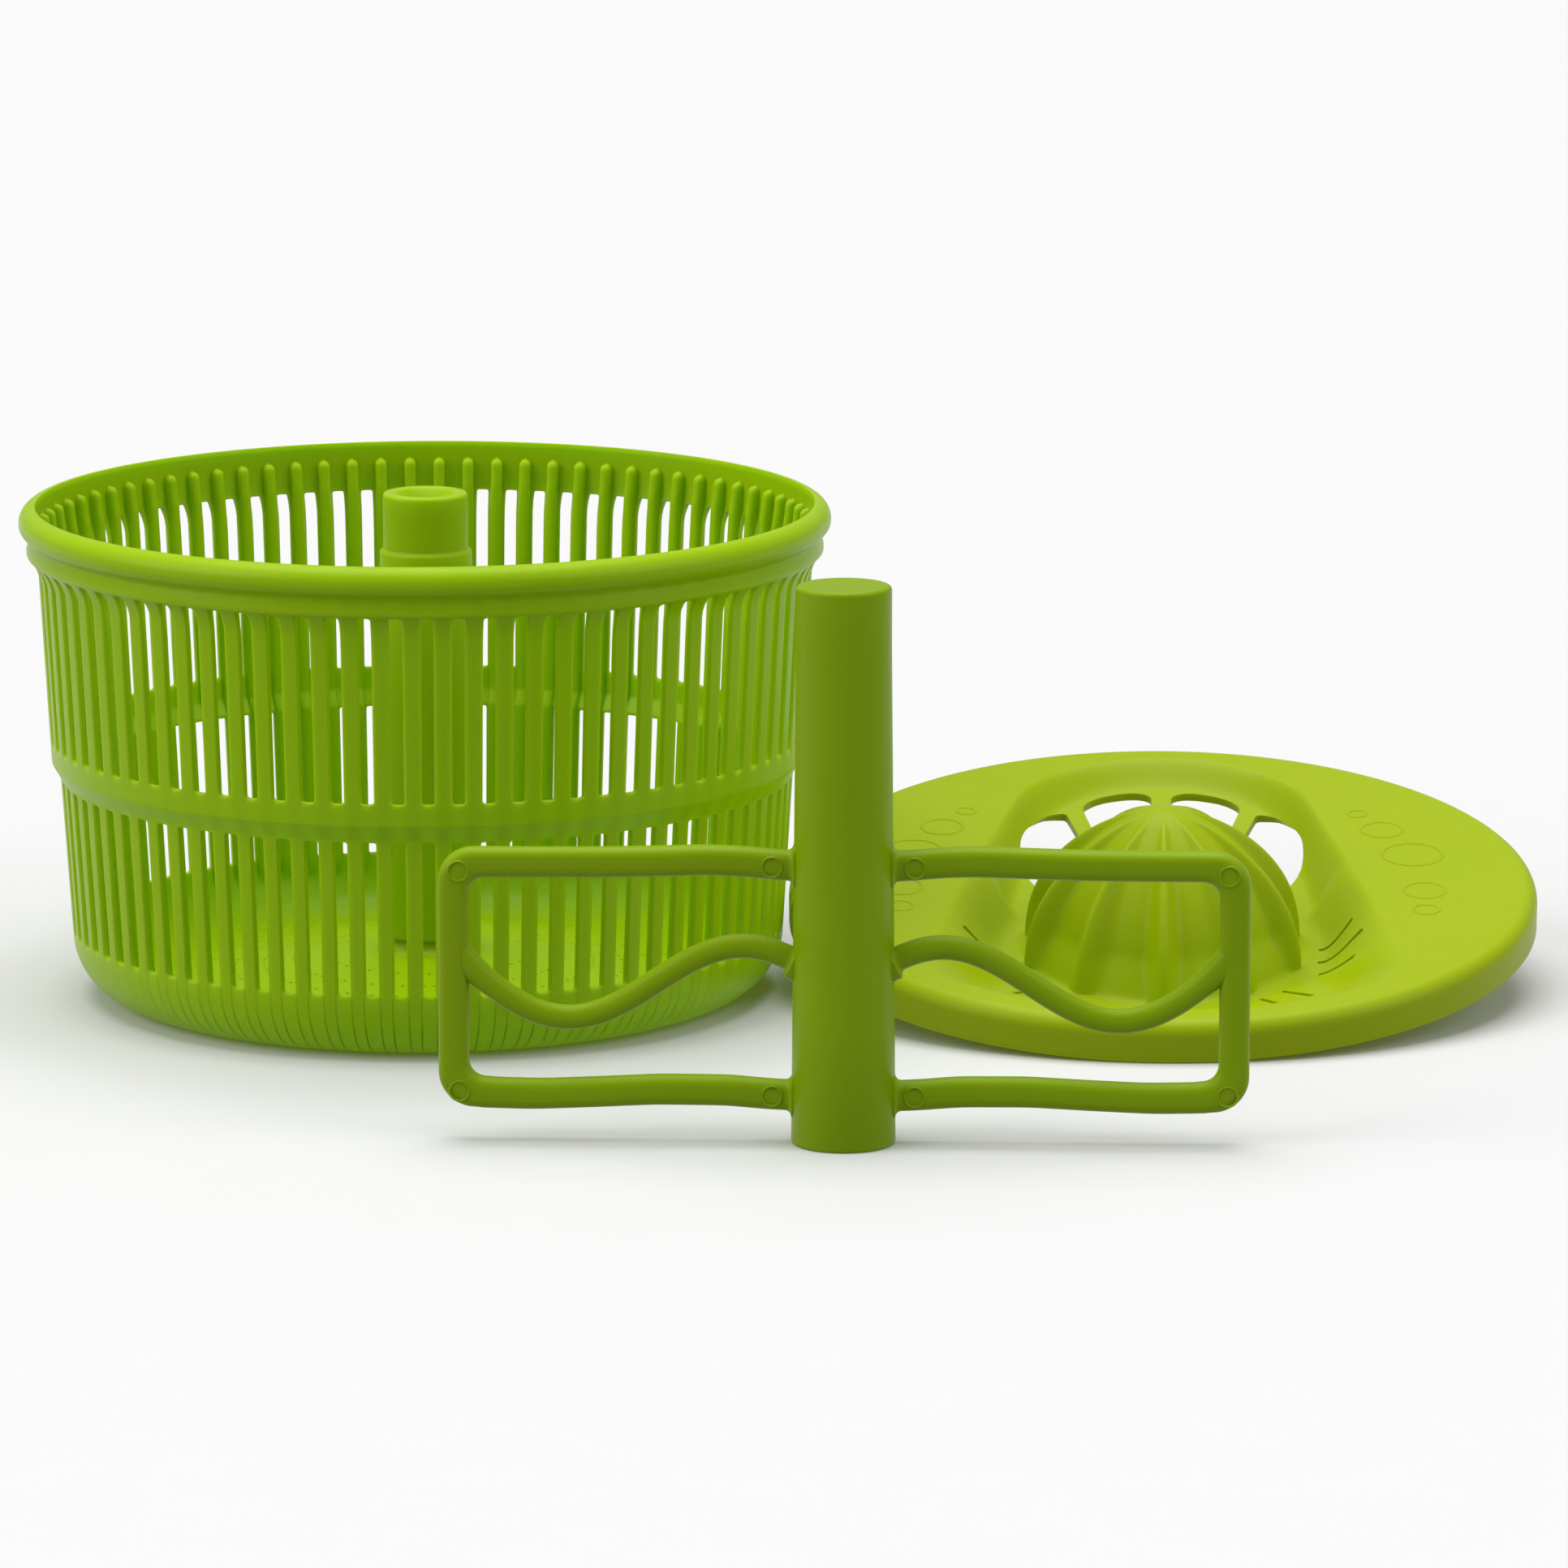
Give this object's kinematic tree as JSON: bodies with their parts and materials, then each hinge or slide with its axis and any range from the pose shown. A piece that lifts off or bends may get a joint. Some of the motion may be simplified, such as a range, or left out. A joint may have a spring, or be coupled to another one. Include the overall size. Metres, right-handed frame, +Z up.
{
  "type": "salad spinner basket set",
  "caption": "Slotted salad spinner basket with a centre drive column, a mixing paddle with waved wings, and a juicer lid with a fluted reamer and strainer windows.",
  "frame": {"origin": "centre of the pivot foot's flat underside, on the basket's axis, on the table", "axes": "+Z up along the basket's axis, +X to the right across the set towards the juicer lid, +Y to the back"},
  "size_m": [0.4035, 0.2993, 0.14],
  "materials": {
    "basket_green": "glossy, slightly translucent lime green polypropylene",
    "paddle_green": "glossy lime green polypropylene",
    "lid_green": "glossy lime green polypropylene, slightly yellower",
    "pivot_plastic": "matt white acetal"
  },
  "bodies": {
    "basket_pivot": {"pivot_foot": "pivot_plastic"},
    "basket": {"basket_rim": "basket_green", "upper_wall": "basket_green", "lower_wall": "basket_green", "floor_pan": "basket_green", "centre_column": "basket_green", "column_drive_end": "basket_green", "drive_socket": "basket_green", "basket_bush": "pivot_plastic"},
    "paddle_pivot": {"paddle_foot": "pivot_plastic"},
    "paddle": {"paddle_shaft": "paddle_green", "left_wing": "paddle_green", "right_wing": "paddle_green", "paddle_bush": "pivot_plastic"},
    "juicer": {"lid_plate": "lid_green", "juice_well": "lid_green", "reamer": "lid_green", "left_rest_foot": "lid_green", "right_rest_foot": "lid_green"}
  },
  "joints": [
    {"name": "basket_spin", "type": "hinge", "parent": "basket_pivot", "child": "basket", "pos_m": [0, 0, 0.06], "axis": [0, 0, 1], "continuous": true},
    {"name": "paddle_lift", "type": "slide", "parent": "basket_pivot", "child": "paddle_pivot", "axis": [0, 0, 1], "range_m": [0, 0.15]},
    {"name": "paddle_spin", "type": "hinge", "parent": "paddle_pivot", "child": "paddle", "pos_m": [0.11602, -0.17498, 0.06], "axis": [0, 0, 1], "continuous": true},
    {"name": "lid_lift", "type": "slide", "parent": "basket_pivot", "child": "juicer", "axis": [0.5, 0, 0.866], "range_m": [0, 0.16]}
  ]
}
